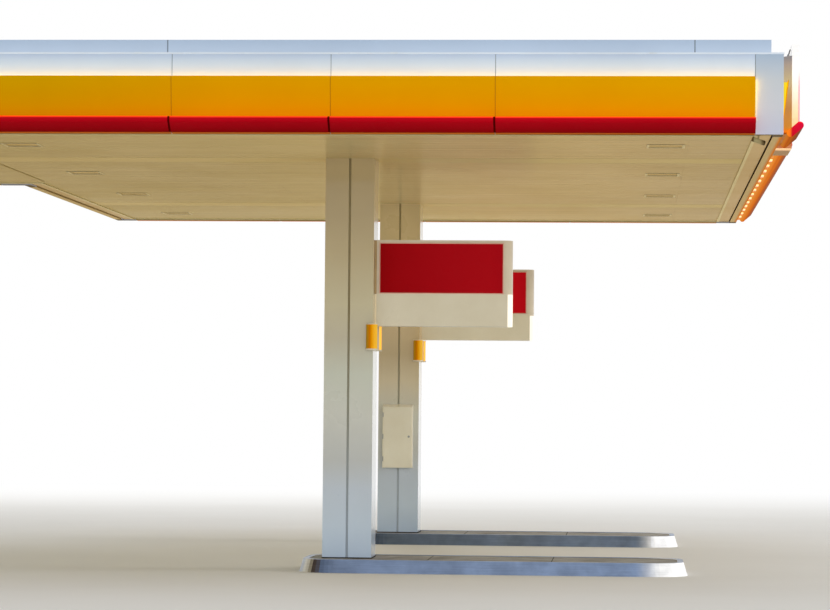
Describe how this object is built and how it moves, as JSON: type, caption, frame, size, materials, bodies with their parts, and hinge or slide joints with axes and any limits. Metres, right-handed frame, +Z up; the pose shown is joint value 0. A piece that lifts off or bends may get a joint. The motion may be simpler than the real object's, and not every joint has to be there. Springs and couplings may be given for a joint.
{
  "type": "filling station canopy",
  "caption": "L-shaped filling station canopy: flat roof with lit yellow and red fascia bands on clad square columns, with flag signs, side sign and kerbed islands.",
  "frame": {"origin": "centre of the near column's base plate at ground level", "axes": "+X to the right along the front fascia, +Y away from the viewer across the lanes, +Z up"},
  "size_m": [20.5673, 16.178, 6.249],
  "materials": {
    "kerb_steel": "galvanised sheet, scuffed",
    "island_concrete": "trowelled concrete",
    "frame_steel": "grey primer",
    "galvanised_steel": "galvanised",
    "column_cladding": "satin coated sheet",
    "joint_strip": "matt dark strip",
    "cabinet_metal": "satin coated sheet",
    "white_panel": "satin coated composite sheet",
    "coping_metal": "gloss white",
    "yellow_sheet": "gloss acrylic, lit from behind",
    "red_bar": "gloss acrylic",
    "light_module": "lit amber lens",
    "soffit_metal": "gloss coated linear panels",
    "luminaire_metal": "satin coated",
    "luminaire_glass": "clear toughened glass",
    "sign_case": "satin white",
    "sign_red": "satin film on sheet",
    "sign_face": "satin white, bare",
    "lamp_cover": "gloss amber cover",
    "camera_housing": "matt"
  },
  "bodies": {
    "root": {"island_kerbs": "kerb_steel", "island_slabs": "island_concrete", "column_frames": "frame_steel", "near_column_cladding": "column_cladding", "other_column_cladding": "column_cladding", "column_joint_strips": "joint_strip", "wall_cabinet": "cabinet_metal", "main_beams": "frame_steel", "cross_beams": "frame_steel", "edge_beams": "frame_steel", "ceiling_rails": "galvanised_steel", "roof_deck": "galvanised_steel", "roof_upstand": "white_panel", "fascia_coping": "coping_metal", "fascia_posts": "galvanised_steel", "front_fascia": "white_panel", "right_fascia": "white_panel", "rear_fascia": "white_panel", "left_fascia": "white_panel", "corner_panels": "white_panel", "front_yellow_band": "yellow_sheet", "right_yellow_band": "yellow_sheet", "rear_yellow_band": "yellow_sheet", "left_yellow_band": "yellow_sheet", "front_red_bar": "red_bar", "right_red_bar": "red_bar", "rear_red_bar": "red_bar", "left_red_bar": "red_bar", "red_bar_brackets": "galvanised_steel", "light_modules": "light_module", "strip_soffit": "soffit_metal", "block_soffit": "soffit_metal", "soffit_edge_strips": "soffit_metal", "soffit_beads": "soffit_metal", "luminaire_housings": "luminaire_metal", "luminaire_lenses": "luminaire_glass", "sign_light_boxes": "sign_case", "sign_lower_panels": "sign_case", "sign_red_panels": "sign_red", "sign_brackets": "galvanised_steel", "lamp_bases": "sign_case", "lamp_covers": "lamp_cover", "side_sign_backing": "sign_case", "side_sign_box": "sign_face", "soffit_camera": "camera_housing"}
  },
  "joints": []
}
